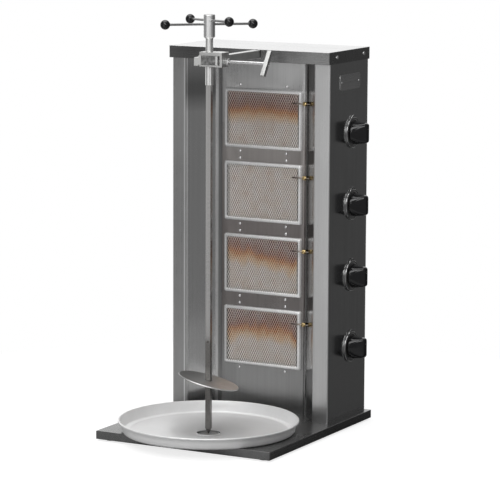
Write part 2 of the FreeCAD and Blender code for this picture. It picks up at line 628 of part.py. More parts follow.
def make_name_plate():
    """Blank plate with rounded corners, held by two rivets."""
    plate = block("badge_blank", "side_x", "side_x + badge_thick", "badge_y - badge_wide / 2",
                  "badge_y + badge_wide / 2", "badge_z - badge_tall / 2", "badge_z + badge_tall / 2")
    soft = rounded(plate, lambda y, z: number("badge_corner"), "x")
    rivets = [dome_screw("badge_rivet_%d" % s, "badge_rivet", "side_x + badge_thick",
                         "badge_y + %d * (badge_wide / 2 - rivet_inset)" % s, "badge_z", TO_RIGHT)
              for s in (-1, 1)]
    return part("name_plate", fuse("name_plate_all", [soft] + rivets))


# ---------------------------------------------------------------- spit

PHASE = number("spit_phase")
SPIT_TURN = Rotation(Vector(0, 0, 1), PHASE)


def plan_direction(degrees):
    return Vector(math.cos(math.radians(degrees)), math.sin(math.radians(degrees)), 0)


def make_spit_bar():
    """Square bar with a four-sided point and two cross holes for the disc pin."""
    bar = bind(doc.addObject("Part::Prism", "bar_square"), Circumradius="bar_side / 2 / cos(45)",
               Height="journal_low - bar_shoulder")
    bar.Polygon = 4
    place(bar, 0, "spit_y", "bar_shoulder", Rotation(Vector(0, 0, 1), PHASE + 45))
    point = bind(doc.addObject("Part::Wedge", "bar_tip"), Xmin="-bar_side / 2", Xmax="bar_side / 2",
                 Zmin="-bar_side / 2", Zmax="bar_side / 2", Ymin=0, Ymax="bar_point",
                 X2min="-tip_flat", X2max="tip_flat", Z2min="-tip_flat", Z2max="tip_flat")
    place(point, 0, "spit_y", "bar_shoulder", SPIT_TURN.multiply(Rotation(Vector(1, 0, 0), -90)))
    holes = [cross_rod("bar_hole_low", "spare_hole", 30, "spit_phase + 90", "spare_low_z"),
             cross_rod("bar_hole_high", "spare_hole", 30, "spit_phase", "spare_high_z"),
             cross_rod("bar_pin_hole", "pin_radius", 30, "spit_phase", "pin_z")]
    return part("spit_bar", cut("bar_drilled", fuse("bar_all", [bar, point]), holes))


def cross_rod(name, radius, length, turn, z):
    """A rod through the middle of the bar, across it, turned in plan from the Y axis."""
    return rod(name, radius, length, "(%s) / 2 * sin(%s)" % (length, turn),
               "spit_y - (%s) / 2 * cos(%s)" % (length, turn), z, plan_direction(number(turn) + 90))


def make_disc_pin():
    """Pin that the disc rests on."""
    return part("disc_pin", cross_rod("pin_rod", "pin_radius", "pin_long", "spit_phase", "pin_z"))


def make_spit_journal():
    """Round shank that turns in the yoke, with a square shoulder between it and the bar."""
    shank = rod("journal_rod", "journal_radius", "hub_low - journal_low", 0, "spit_y", "journal_low")
    shoulder = bind(doc.addObject("Part::Prism", "journal_shoulder"),
                    Circumradius="shoulder_side / 2 / cos(45)", Height="shoulder_top - journal_low")
    shoulder.Polygon = 4
    place(shoulder, 0, "spit_y", "journal_low", Rotation(Vector(0, 0, 1), PHASE + 45))
    return part("spit_journal", fuse("journal_all", [shank, shoulder]))


def make_handle_hub():
    """Hub with a chamfered foot and two cross holes for the handle rods."""
    r, tall = "hub_radius", "hub_high - hub_low"
    solid = turned("hub_round", [(0, 0), ("journal_radius + 1", 0), (r, "4"), (r, tall + " - 1"),
                                 (r + " - 1", tall), (0, tall)], 0, "spit_y", "hub_low")
    return part("handle_hub", cut("hub_drilled", solid, handle_rods("hub_bore", "rod_radius")))


def handle_rods(name, radius):
    """Two rods at right angles through the hub, one above the other, each dipping a little at one end."""
    made = []
    for k, tier in enumerate(("rod_low", "rod_high")):
        turn = "(spit_phase + 45 + 90 * %d)" % k
        dip = math.radians(number(tier + "_dip"))
        direction = plan_direction(PHASE + 45 + 90 * k) * math.cos(dip) + Vector(0, 0, math.sin(dip))
        made.append(rod("%s_%d" % (name, k), radius, "2 * rod_reach",
                        "-rod_reach * cos(%s_dip) * cos%s" % (tier, turn),
                        "spit_y - rod_reach * cos(%s_dip) * sin%s" % (tier, turn),
                        "%s_z - rod_reach * sin(%s_dip)" % (tier, tier), direction))
    return made


def make_handle_rods():
    low, high = handle_rods("handle_rod", "rod_radius")
    return part("handle_rods", fuse("handle_rod_set", [low, high]))


def make_ball_knobs():
    """Ball on each end of each rod, bored to take it."""
    balls = []
    for k, tier in enumerate(("rod_low", "rod_high")):
        turn = "(spit_phase + 45 + 90 * %d)" % k
        for s in (-1, 1):
            ball = bind(doc.addObject("Part::Sphere", "ball_%d_%d" % (k, s + 1)), Radius="ball_radius")
            place(ball, "%d * rod_reach * cos(%s_dip) * cos%s" % (s, tier, turn),
                  "spit_y + %d * rod_reach * cos(%s_dip) * sin%s" % (s, tier, turn),
                  "%s_z + %d * rod_reach * sin(%s_dip)" % (tier, s, tier))
            balls.append(ball)
    bores = handle_rods("ball_bore", "rod_radius")
    return part("ball_knobs", cut("balls_bored", group("ball_set", balls), bores))


def make_meat_disc():
    """Loose plate with a square hole and a rolled edge, lying tilted on the pin."""
    tilt = Rotation(plan_direction(number("disc_lean") + 90), number("disc_tilt"))
    half = "disc_thick / 2"
    r = "disc_radius"
    plate = turned("disc_round", [(0, "-" + half), (r + " - 1.2", "-" + half), (r, "-0.4"), (r, "0.4"),
                                  (r + " - 1.2", half), (0, half)], 0, "spit_y", "disc_z", tilt)
    hole = bind(doc.addObject("Part::Prism", "disc_square"), Circumradius="disc_hole / 2 / cos(45)",
                Height=30)
    hole.Polygon = 4
    place(hole, 0, "spit_y", "disc_z - 15", Rotation(Vector(0, 0, 1), PHASE + 45))
    return part("meat_disc", cut("disc_cut", plate, [hole]))


def make_pivot_cup():
    """Turning cup under the pan collar that holds the point of the bar, with a stem below."""
    r = "cup_radius"
    profile = [(0, "foot_tall + plate + 0.1"), ("stem_radius", "foot_tall + plate + 0.1"),
               ("stem_radius", "cup_low"), (r, "cup_low"), (r, "cup_top - 1.5"), (r + " - 2", "cup_top"),
               ("socket_radius", "cup_top"), ("socket_foot", "socket_z"), (0, "socket_z")]
    return part("pivot_cup", turned("cup_round", profile, 0, "spit_y", 0))


def make_pivot_post():
    """Fixed boss on the cross rail with a socket for the stem."""
    profile = [("stem_radius + running_fit", "foot_tall + plate"), ("post_radius", "foot_tall + plate"),
               ("post_radius", "cup_low"), ("stem_radius + running_fit", "cup_low")]
    return part("pivot_post", turned("post_round", profile, 0, "spit_y", 0))


# ---------------------------------------------------------------- drip pan

def make_drip_pan():
    """Spun pan: rolled rim, steep wall, flat seat with a ribbed ring, shallow dish and a collar."""
    z = "base_top"
    t = "pan_sheet"
    top = z + " + " + t
    profile = [
        ("dish_low_radius", z + " - dish_drop"), ("dish_radius", z), ("pan_floor_radius", z),
        ("pan_wall_radius", z + " + 4"),
        ("pan_rim_radius - bead", "pan_rim_z - bead"),
        ("pan_rim_radius + bead * 0.8", "pan_rim_z - bead * 0.9"),
        ("pan_rim_radius + bead * 0.8", "pan_rim_z + bead * 0.5"), ("pan_rim_radius", "pan_rim_z + bead"),
        ("pan_rim_radius - bead", "pan_rim_z + bead * 0.6"), ("pan_wall_radius - " + t, z + " + 4.4"),
        ("pan_floor_radius - 0.5", top), ("rib_radius + rib_half", top), ("rib_radius", top + " + rib_tall"),
        ("rib_radius - rib_half", top), ("dish_radius", top),
        ("dish_low_radius + 1.6", z + " - dish_drop + " + t + " + 0.2"),
        ("dish_low_radius + 1.2", z + " - dish_drop + collar_tall + " + t),
        ("dish_low_radius", z + " - dish_drop + collar_tall + " + t),
    ]
    return part("drip_pan", turned("pan_spun", profile, 0, "spit_y", 0))


# ---------------------------------------------------------------- spit support

def make_support_arm():
    """Square bar fixed under the lid, reaching forward to the yoke."""
    return part("support_arm", block("arm_bar", "arm_low_x", "arm_low_x + arm_wide",
                                     "yoke_front_y + yoke_deep + web_thick", "arm_back_y",
                                     "side_top - arm_tall", "side_top"))


def make_clamp_yoke():
    """Channel with top and bottom plates and a right cheek, open to the left."""
    back = "yoke_front_y + yoke_deep"
    outer = block("yoke_outer", "yoke_left_x", "yoke_right_x", "yoke_front_y", back, "yoke_low", "yoke_high")
    inner = block("yoke_inner", "yoke_left_x", "yoke_right_x - yoke_cheek", "yoke_front_y", back,
                  "yoke_low + yoke_plate", "yoke_high - yoke_top_plate")
    bore = rod("yoke_bore", "journal_radius + running_fit", "yoke_high - yoke_low", 0, "spit_y", "yoke_low")
    wide_bore = rod("yoke_wide_bore", "yoke_low_bore", "yoke_plate", 0, "spit_y", "yoke_low")
    screw = rod("yoke_screw_bore", "screw_radius + 0.6", "yoke_cheek", "yoke_right_x - yoke_cheek",
                "spit_y", "screw_height", "x")
    channel = cut("yoke_channel", outer, [inner, bore, wide_bore, screw])
    web = block("yoke_web", "arm_low_x", "arm_low_x + arm_wide", back, back + " + web_thick", "yoke_low",
                "yoke_high")
    return part("clamp_yoke", fuse("yoke_all", [channel, web]))


def make_clamp_jaw():
    """Frame that goes round the journal, with a hook block on the left and a cross-head for the screw."""
    y0, y1 = "yoke_front_y + jaw_front_gap", "spit_y + jaw_back"
    end = "jaw_right_x - jaw_end_gap"
    hook = block("jaw_hook", "jaw_left_x", "yoke_left_x - 2 * jaw_front_gap", y0, y1, "hook_low", "hook_high")
    recess = block("jaw_face_recess", "jaw_hook_x", end + " - jaw_block", y0, y0 + " + jaw_recess",
                   "hook_low", "jaw_high")
    frame = block("jaw_frame", "yoke_left_x - 2 * jaw_front_gap", end, y0, y1, "jaw_low", "jaw_high")
    window = block("jaw_window", "jaw_hook_x", "jaw_right_x - jaw_wall", y0 + " + jaw_bar",
                   y1 + " - jaw_back_bar", "hook_low", "jaw_high")
    socket = rod("jaw_screw_socket", "screw_radius + running_fit", "jaw_socket", "jaw_right_x - jaw_socket",
                 "spit_y", "screw_height", "x")
    return part("clamp_jaw", cut("jaw_cut", fuse("jaw_solid", [hook, frame]), [window, socket, recess]))


def make_clamp_screw():
    return part("clamp_screw", rod("screw_rod", "screw_radius", "tee_x - jaw_right_x + 9", "jaw_right_x - 9",
                                   "spit_y", "screw_height", "x"))


def make_tee_bar():
    """Square cross bar on the end of the screw, tilted, with a hole for the screw."""
    turn = Rotation(Vector(1, 0, 0), number("tee_tilt"))
    bar = block("tee_square", 0, "tee_side", 0, "tee_side", 0, "tee_long")
    place(bar, "tee_x - tee_side / 2", "spit_y", "screw_height", turn)
    bar.setExpression("Placement.Base.y",
                      cells("spit_y - tee_side / 2 * cos(tee_tilt) + tee_long / 2 * sin(tee_tilt)"))
    bar.setExpression("Placement.Base.z",
                      cells("screw_height - tee_side / 2 * sin(tee_tilt) - tee_long / 2 * cos(tee_tilt)"))
    hole = rod("tee_hole", "screw_radius", "tee_side", "tee_x - tee_side / 2", "spit_y", "screw_height", "x")
    return part("tee_bar", cut("tee_drilled", bar, [hole]))


def make_clamp_nut():
    """Fixed hexagonal nut against the cheek."""
    nut = hexagon("nut_hex", "clamp_nut_flats", "clamp_nut_long", "yoke_right_x", "spit_y", "screw_height",
                  "x")
    bore = rod("nut_bore", "screw_radius + running_fit", "clamp_nut_long", "yoke_right_x", "spit_y",
               "screw_height", "x")
    return part("clamp_nut", cut("nut_bored", nut, [bore]))


# ---------------------------------------------------------------- build everything

make_base_tray()
make_rubber_feet()
make_side_panel("left_side_panel", -1)
make_side_panel("right_side_panel", 1)
make_back_panel()
make_top_lid()
make_burner_panel()
make_panel_sides()
make_heat_shield()
make_cover_screws()
for n in BURNERS:
    make_burner_body(n)
    make_burner_frame(n)
slabs("ceramic_plaques", "plaque_wide", "plaque_tall", "plaque_y", "plaque_thick")
slabs("mesh_guards", "body_wide - 2", "body_tall - 2", "mesh_y", "mesh_thick")
make_thermocouples()
make_burner_screws()
make_gas_injectors()
make_burner_pipes()
make_gas_valves()
make_gas_manifold()
make_gas_inlet()
for n in BURNERS:
    make_valve_plunger(n)
    make_valve_spindle(n)
    make_knob(n)
make_knob_bezels()
make_name_plate()
make_spit_bar()
make_disc_pin()
make_spit_journal()
make_handle_hub()
make_handle_rods()
make_ball_knobs()
make_meat_disc()
make_pivot_cup()
make_pivot_post()
make_drip_pan()
make_support_arm()
make_clamp_yoke()
make_clamp_jaw()
make_clamp_screw()
make_tee_bar()
make_clamp_nut()

doc.recompute()
faults = [obj.Name for obj in doc.Objects if {"Invalid", "Error"} & set(obj.State)]
faults += [obj.Label for obj in parts if obj.Shape.isNull() or not obj.Shape.isValid()]
if faults:
    raise SystemExit("failed: " + ", ".join(faults))
os.makedirs("parts", exist_ok=True)
for obj in parts:
    obj.Shape.exportStep(os.path.join("parts", obj.Label + ".step"))
print(len(parts), "parts written")
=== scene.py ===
"""Looks of the vertical rotisserie broiler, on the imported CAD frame. Metres, +Z up, origin under the base."""
import math

import bmesh
import bpy
from mathutils import Matrix, Vector


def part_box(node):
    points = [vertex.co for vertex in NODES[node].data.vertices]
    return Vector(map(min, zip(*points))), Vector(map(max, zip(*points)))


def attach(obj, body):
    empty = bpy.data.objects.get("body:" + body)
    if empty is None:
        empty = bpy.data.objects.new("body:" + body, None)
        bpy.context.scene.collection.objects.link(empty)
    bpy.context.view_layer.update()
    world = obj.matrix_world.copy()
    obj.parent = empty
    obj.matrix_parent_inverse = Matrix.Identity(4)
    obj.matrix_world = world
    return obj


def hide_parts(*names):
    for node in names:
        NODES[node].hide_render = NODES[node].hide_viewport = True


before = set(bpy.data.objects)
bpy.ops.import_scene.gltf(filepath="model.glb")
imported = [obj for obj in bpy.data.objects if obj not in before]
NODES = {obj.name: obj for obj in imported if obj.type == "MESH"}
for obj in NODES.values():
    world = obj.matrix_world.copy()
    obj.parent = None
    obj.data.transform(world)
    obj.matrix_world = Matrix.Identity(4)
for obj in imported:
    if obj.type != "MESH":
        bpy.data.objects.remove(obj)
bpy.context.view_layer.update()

COLLECTION = bpy.context.scene.collection
MM = 0.001
BURNERS = range(1, 5)

# places that the CAD boxes of the nodes give, in metres
FRAME_BOXES = [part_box("burner_frame_%d" % n) for n in BURNERS]
BURNER_X = (FRAME_BOXES[0][0][0] + FRAME_BOXES[0][1][0]) / 2
BURNER_Z = [(low[2] + high[2]) / 2 for low, high in FRAME_BOXES]
GUARD_LOW, GUARD_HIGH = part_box("mesh_guards")
HUB_LOW, HUB_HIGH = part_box("handle_hub")
SPIT_X, SPIT_Y = (HUB_LOW[0] + HUB_HIGH[0]) / 2, (HUB_LOW[1] + HUB_HIGH[1]) / 2
HUB_TOP = HUB_HIGH[2]
LID_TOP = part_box("top_lid")[1][2]
COLUMN_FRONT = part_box("right_side_panel")[0][1]
PANEL_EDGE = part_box("burner_panel")[1][0]

# places that no box gives, in metres
COLUMN_LINE = 0.175             # x where a column's front changes tone, just outside the fold of its wing: the painted highlight line on the left, the edge of the painted shade on the right
STRIP_FOLD = 0.1155             # x of the fold between a slanting strip and its flange
JAW_RECESS = (-0.0112, 0.0256)  # x of the two ends of the recess in the jaw's face
BAR_FOOT = 0.235                # height below which the spit's bar is painted dark, as shade under the disc


# ---------------------------------------------------------------- shader building

class Shader:
    """A small builder round one material's node tree."""

    def __init__(self, name):
        self.material = bpy.data.materials.new(name)
        self.material.use_nodes = True
        self.tree = self.material.node_tree
        self.tree.nodes.clear()
        self.out = self.node("ShaderNodeOutputMaterial")
        self.bsdf = self.node("ShaderNodeBsdfPrincipled")
        self.link(self.bsdf.outputs[0], self.out.inputs[0])
        self.where = self.node("ShaderNodeTexCoord").outputs["Object"]

    def node(self, kind, **settings):
        made = self.tree.nodes.new(kind)
        for key, value in settings.items():
            setattr(made, key, value)
        return made

    def link(self, a, b):
        self.tree.links.new(a, b)

    def feed(self, socket, value):
        """Link a socket to a value, or set it."""
        if hasattr(value, "is_linked"):
            self.link(value, socket)
        elif isinstance(value, tuple) and len(value) == 3 and socket.type == "RGBA":
            socket.default_value = (*value, 1)
        else:
            socket.default_value = value

    def set(self, **values):
        for key, value in values.items():
            self.feed(self.bsdf.inputs[key.replace("_", " ")], value)
        return self

    def noise(self, scale, detail=3.0, rough=0.55, shift=(0, 0, 0)):
        """Noise from 0 to 1 with a frequency, in cycles per metre, for each axis."""
        mapping = self.node("ShaderNodeMapping")
        mapping.inputs["Scale"].default_value = scale if isinstance(scale, tuple) else (scale,) * 3
        mapping.inputs["Location"].default_value = shift
        self.link(self.where, mapping.inputs["Vector"])
        made = self.node("ShaderNodeTexNoise")
        made.inputs["Scale"].default_value = 1.0
        made.inputs["Detail"].default_value = detail
        made.inputs["Roughness"].default_value = rough
        self.link(mapping.outputs[0], made.inputs["Vector"])
        return made.outputs["Fac"]

    def ramp(self, value, stops):
        made = self.node("ShaderNodeValToRGB")
        while len(made.color_ramp.elements) < len(stops):
            made.color_ramp.elements.new(0.5)
        for element, (at, colour) in zip(made.color_ramp.elements, stops):
            element.position = at
            element.color = (*colour, 1)
        self.link(value, made.inputs[0])
        return made.outputs[0]

    def span(self, value, low, high, to_low=0.0, to_high=1.0):
        """Map a range of one value onto another, and stop at its ends."""
        made = self.node("ShaderNodeMapRange")
        for key, number in (("From Min", low), ("From Max", high), ("To Min", to_low), ("To Max", to_high)):
            made.inputs[key].default_value = number
        self.link(value, made.inputs["Value"])
        return made.outputs[0]

    def vary(self, noise, to_low=0.0, to_high=1.0):
        """Map the range that most of a noise's values lie in onto another."""
        return self.span(noise, 0.3, 0.7, to_low, to_high)

    def math(self, kind, a, b=0.0):
        made = self.node("ShaderNodeMath", operation=kind)
        self.feed(made.inputs[0], a)
        self.feed(made.inputs[1], b)
        return made.outputs[0]

    def plus(self, a, b):
        return self.math("ADD", a, b)

    def times(self, a, b):
        return self.math("MULTIPLY", a, b)

    def mix(self, factor, a, b, mode="MIX"):
        made = self.node("ShaderNodeMix", data_type="RGBA", blend_type=mode)
        for index, value in ((0, factor), (6, a), (7, b)):
            self.feed(made.inputs[index], value)
        return made.outputs[2]

    def bump(self, height, strength, distance):
        made = self.node("ShaderNodeBump")
        made.inputs["Strength"].default_value = strength
        made.inputs["Distance"].default_value = distance
        self.link(height, made.inputs["Height"])
        self.link(made.outputs[0], self.bsdf.inputs["Normal"])

    def axis(self, name):
        made = self.node("ShaderNodeSeparateXYZ")
        self.link(self.where, made.inputs[0])
        return made.outputs[name]


def grey(level):
    return (level, level, level)


def scaled(tone, factor):
    return tuple(min(1.0, c * factor) for c in tone)


# ---------------------------------------------------------------- materials

def along(axis, slow, fast):
    """Frequencies for a grain that runs along one axis."""
    return tuple(slow if name == axis else fast for name in "xyz")


def brushed_steel(name, tone, rough, grain, streak=0.05, smudge=0.05, shade=None, dull=None):
    """Brushed stainless steel: fine grain, faint long streaks, wiped smudges and a few scratches."""
    s = Shader(name)
    fine = s.noise(along(grain, 8, 1500), 2.0)
    streaks = s.noise(along(grain, 1.2, 160), 3.0, 0.6)
    smudges = s.noise(9, 5.0, 0.65)
    scratches = s.noise(along(grain, 25, 420), 2.0, 0.4, (3.1, 1.7, 0.4))
    colour = s.mix(s.vary(streaks), scaled(tone, 1 - streak), scaled(tone, 1 + streak))
    colour = s.mix(s.span(scratches, 0.72, 0.80, 0, 0.25), colour, scaled(tone, 1.35))
    if shade:
        colour = s.mix(1.0, colour, shade(s), "MULTIPLY")
    gloss = s.plus(s.vary(fine, rough - 0.04, rough + 0.04), s.span(smudges, 0.35, 0.7, -smudge, smudge))
    if dull:
        gloss = s.plus(gloss, dull(s))
    s.set(Base_Color=colour, Roughness=gloss, Metallic=1.0)
    s.bump(fine, 0.06, 0.0001)
    return s.material


def heat_stain_and_strip_light(s):
    """Darkening of the burner panel: strongest between the lower burners, with a faint warm tint; at its left
    edge, a painted highlight on the flange and painted shade on the slanting strip.
    """
    foot, top = 0.02, 0.87
    x = s.axis("X")
    height = s.span(s.axis("Z"), foot, top)
    wander = s.plus(height, s.vary(s.noise(6, 2.0), -0.03, 0.03))
    darkening = s.ramp(wander, [(0.0, grey(0.66)), (0.12, grey(0.60)), (0.30, (0.42, 0.39, 0.38)),
                           (0.52, (0.46, 0.42, 0.41)), (0.74, (0.66, 0.62, 0.60)), (0.93, grey(0.98))])
    # painted light on the left edge only: the flange painted brighter as a highlight, the slanting strip darker
    # as shade
    flange_to_strip = s.span(x, -STRIP_FOLD - 0.5 * MM, -STRIP_FOLD + 0.5 * MM)
    strip = s.mix(flange_to_strip, grey(1.05), grey(0.46))
    strip_to_sheet = s.span(x, -PANEL_EDGE - 0.5 * MM, -PANEL_EDGE + 0.2 * MM)
    return s.mix(strip_to_sheet, strip, darkening)


def wing_shade(s):
    """Painted shade in the right wing's recess; a painted dark reflection in a band on the left wing, and a
    painted highlight line beside it.
    """
    x, z = s.axis("X"), s.axis("Z")
    right_wing = s.times(s.span(x, 0.112, 0.122), s.span(x, COLUMN_LINE + 1 * MM, COLUMN_LINE - 11 * MM))
    behind_fold = s.span(s.axis("Y"), COLUMN_FRONT + 2.5 * MM, COLUMN_FRONT + 5 * MM)
    wander = s.plus(z, s.vary(s.noise(7, 2.0), -0.03, 0.03))
    # painted shade in the recess of the right wing, behind the column's fold, weaker near the foot
    darkening = s.times(s.times(right_wing, behind_fold), s.span(wander, 0.08, 0.34, 0.35, 1.0))
    line = s.times(s.span(x, -COLUMN_LINE - 1.5 * MM, -COLUMN_LINE - 1 * MM),
                   s.span(x, -COLUMN_LINE + 1.5 * MM, -COLUMN_LINE + 2 * MM, 1, 0))
    left_wing = s.times(s.span(x, -COLUMN_LINE, -COLUMN_LINE + 5 * MM), s.span(x, -0.12, -0.10, 1, 0))
    # painted dark reflection in a band across the left wing near its top
    band = s.times(s.span(z, 0.730, 0.775), s.span(z, 0.795, 0.850, 1, 0.3))
    tone = s.mix(s.times(left_wing, band), grey(0.88), grey(0.40))
    tone = s.mix(s.span(x, -0.1, 0.0), tone, grey(1.0))
    # painted highlight line on the left column's front
    tone = s.mix(line, tone, grey(1.7))
    return s.mix(darkening, tone, (0.26, 0.25, 0.24))


def column_dull(s):
    """The fronts of the columns are hazier than their broad outer sides."""
    return s.span(s.axis("Y"), COLUMN_FRONT + 1.5 * MM, COLUMN_FRONT + 3.5 * MM, 0.16, 0.0)


def lid_shade(s):
    """Painted light: the lid's top is painted brighter than its skirt; the skirt is darkest left of the middle
    and painted much brighter on the lid's right side.
    """
    across = s.span(s.axis("X"), -0.25, 0.25)
    # painted shade on the skirt, painted light on the lid's right side
    skirt = s.ramp(across, [(0.04, grey(0.40)), (0.20, grey(0.25)), (0.70, grey(0.40)), (0.92, grey(0.40)),
                            (0.95, grey(0.95))])
    top = s.span(s.axis("Z"), LID_TOP - 1.5 * MM, LID_TOP - 0.2 * MM)
    return s.mix(top, skirt, grey(1.0))


def hub_shade(s):
    """Painted shade: the hub's flat top is painted darker than its turned side."""
    top = s.span(s.axis("Z"), HUB_TOP - 0.6 * MM, HUB_TOP - 0.2 * MM)
    return s.mix(top, grey(1.0), grey(0.42))


def spit_shade(s):
    """Painted shade: the foot of the bar, below the disc and a little above it, is painted darker."""
    return s.mix(s.span(s.axis("Z"), BAR_FOOT - 10 * MM, BAR_FOOT + 10 * MM), (0.50, 0.49, 0.48), grey(1.0))


def jaw_shade(s):
    """Painted shade, mottled, in the recess of the jaw's face, between its two blocks, which are painted
    brighter.
    """
    x = s.axis("X")
    left, right = JAW_RECESS
    soft = 0.4 * MM
    recess = s.times(s.span(x, left - soft, left + soft), s.span(x, right - soft, right + soft, 1, 0))
    # painted shade in the recess, mottled; the blocks either side painted brighter
    recess_shade = s.mix(s.span(s.noise(160, 4.0), 0.35, 0.65), grey(0.26), grey(0.60))
    return s.mix(recess, grey(1.2), recess_shade)


def disc_shade(s):
    """Painted light: the disc is painted darker towards its left and brighter towards its right."""
    return s.mix(s.span(s.axis("X"), -0.06, 0.05), grey(0.56), grey(1.35))


def base_shade(s):
    """Painted shade: the base is painted darker at its left, a little less so towards the side with the knobs.
    """
    return s.mix(s.span(s.axis("X"), -0.2, 0.2), grey(0.36), grey(0.44))


def machined_metal(name, tone, rough, cell=900, spread=0.05, dirt=0.0, shade=None):
    """Turned or ground metal with a fine speckle, slow tone changes and, if asked, dull patches."""
    s = Shader(name)
    speckle = s.noise(cell, 4.0, 0.6)
    cloud = s.noise(16, 4.0, 0.6)
    colour = s.mix(s.vary(cloud), scaled(tone, 1 - spread), scaled(tone, 1 + spread))
    if dirt:
        patches = s.noise(55, 5.0, 0.7, (2, 5, 1))
        colour = s.mix(s.span(patches, 0.5, 0.75, 0, dirt), colour, scaled(tone, 0.45))
    if shade:
        colour = s.mix(1.0, colour, shade(s), "MULTIPLY")
    s.set(Base_Color=colour, Roughness=s.vary(speckle, rough - 0.04, rough + 0.04), Metallic=1.0)
    s.bump(speckle, 0.06, 0.00006)
    return s.material


def pressed_trim(name, tone):
    """Bright pressed steel: satin bloom, fine speckle, and painted shade that darkens the side away from the
    nuts.
    """
    s = Shader(name)
    speckle = s.noise(1200, 3.0)
    cloud = s.noise(20, 4.0, 0.6)
    # painted shade: the trim darker towards its left side, full tone at its right
    side = s.span(s.axis("X"), BURNER_X - 0.096, BURNER_X + 0.090, 0.62, 1.0)
    colour = s.mix(s.vary(cloud), scaled(tone, 0.94), tone)
    s.set(Base_Color=s.mix(side, grey(0.0), colour), Roughness=s.vary(speckle, 0.24, 0.32), Metallic=0.3)
    s.bump(speckle, 0.06, 0.0001)
    return s.material


def spun_aluminium(name, tone):
    """Spun sheet: rings round the spit's axis, painted shade that darkens the floor and most of all its middle,
    and small scratches.
    """
    s = Shader(name)
    x = s.math("SUBTRACT", s.axis("X"), SPIT_X)
    y = s.math("SUBTRACT", s.axis("Y"), SPIT_Y)
    radius = s.math("SQRT", s.plus(s.times(x, x), s.times(y, y)))
    ring_rate = 5200.0      # radians of the ring pattern in a metre, so a ring is about 1.2 mm wide
    wobble = s.span(s.noise(30), 0, 1, 0, 0.6 * MM)
    rings = s.math("SINE", s.times(s.plus(radius, wobble), ring_rate))
    cloud = s.noise(12, 5.0, 0.65)
    scratch = s.noise((60, 900, 60), 2.0, 0.4)
    colour = s.mix(s.vary(cloud), scaled(tone, 0.96), scaled(tone, 1.03))
    colour = s.mix(s.span(scratch, 0.70, 0.78, 0, 0.2), colour, scaled(tone, 0.85))
    # painted shade: darkest in the middle, lighter across the floor, full tone at the wall and rim
    worn = s.ramp(s.span(radius, 0.0, 0.2), [(0.0, grey(0.72)), (0.35, grey(0.84)), (0.90, grey(0.86)),
                                             (0.93, grey(1.0))])
    colour = s.mix(1.0, colour, worn, "MULTIPLY")
    gloss = s.plus(s.span(rings, -1, 1, 0.40, 0.46), s.vary(cloud, -0.03, 0.04))
    s.set(Base_Color=colour, Roughness=gloss, Metallic=0.35)
    s.bump(rings, 0.04, 0.0001)
    return s.material


def glossy_plastic(name, tone, rough):
    """Moulded phenolic plastic: a glossy skin with slight orange peel, dust and handling marks."""
    s = Shader(name)
    peel = s.noise(380, 2.0)
    dust = s.noise(70, 6.0, 0.7)
    s.set(Base_Color=s.mix(s.span(dust, 0.55, 0.85), tone, scaled(tone, 2.4)),
          Roughness=s.span(dust, 0.4, 0.8, rough, rough + 0.12), IOR=1.48, Coat_Weight=0.2,
          Coat_Roughness=0.06)
    s.bump(peel, 0.05, 0.0002)
    return s.material


def dished_steel(name):
    """Satin steel of the bezels, darkened, with a turned grain and fine wear."""
    s = Shader(name)
    speckle = s.noise(1100, 3.0)
    cloud = s.noise(40, 4.0)
    s.set(Base_Color=s.mix(s.vary(cloud), grey(0.30), grey(0.38)),
          Roughness=s.vary(speckle, 0.26, 0.36), Metallic=1.0)
    s.bump(speckle, 0.06, 0.0001)
    return s.material


def paint(name, tone, rough):
    """Small painted or printed mark, slightly worn."""
    s = Shader(name)
    wear = s.noise(600, 4.0, 0.6)
    s.set(Base_Color=s.mix(s.span(wear, 0.5, 0.8), tone, scaled(tone, 0.6)),
          Roughness=s.vary(wear, rough - 0.08, rough + 0.08))
    s.bump(wear, 0.1, 0.0001)
    return s.material


def gritty(name, tone, rough, cell=500, metallic=0.0, strength=0.4):
    """Cast, sooted or rubbery surface with visible grit."""
    s = Shader(name)
    grit = s.noise(cell, 5.0, 0.7)
    cloud = s.noise(24, 3.0)
    s.set(Base_Color=s.mix(s.vary(cloud), scaled(tone, 0.7), scaled(tone, 1.3)),
          Roughness=s.vary(grit, rough - 0.12, rough + 0.12), Metallic=metallic)
    s.bump(grit, strength, 0.0005)
    return s.material


# how far each burner's scorching reaches down, leans and sags: (reach, lean to +X, sag at the ends, waviness)
SCORCH = [(0.02, 0.00, 0.10, 0.16), (-1.30, 0.25, 0.00, 0.10), (0.02, 0.22, 0.10, 0.30),
          (-0.02, -0.02, 0.34, 0.30)]


def scorch_level(s):
    """Height through each burner's scorching, from 0 at its pale foot to 1 at its burnt top."""
    x, z = s.axis("X"), s.axis("Z")
    half_wide, half_tall = 0.09, 0.06
    lift = 10.0     # added inside the mask, so that a burner's own level is told from the others' zeros
    across = s.math("DIVIDE", s.math("SUBTRACT", x, BURNER_X), half_wide)
    bow = s.times(across, across)
    level = None
    for centre, (reach, lean, sag, wave) in zip(BURNER_Z, SCORCH):
        up = s.math("DIVIDE", s.math("SUBTRACT", z, centre), half_tall)
        mine = s.math("LESS_THAN", s.math("ABSOLUTE", up), 1.3)
        shape = s.plus(s.times(across, lean), s.times(bow, sag))
        ripple = s.times(s.span(s.noise((38, 38, 16), 4.0, 0.6), 0.2, 0.8, -1, 1), wave)
        total = s.plus(s.plus(up, reach), s.plus(shape, ripple))
        masked = s.times(mine, s.plus(total, lift))
        level = masked if level is None else s.plus(level, masked)
    return s.span(level, lift - 1, lift + 1)


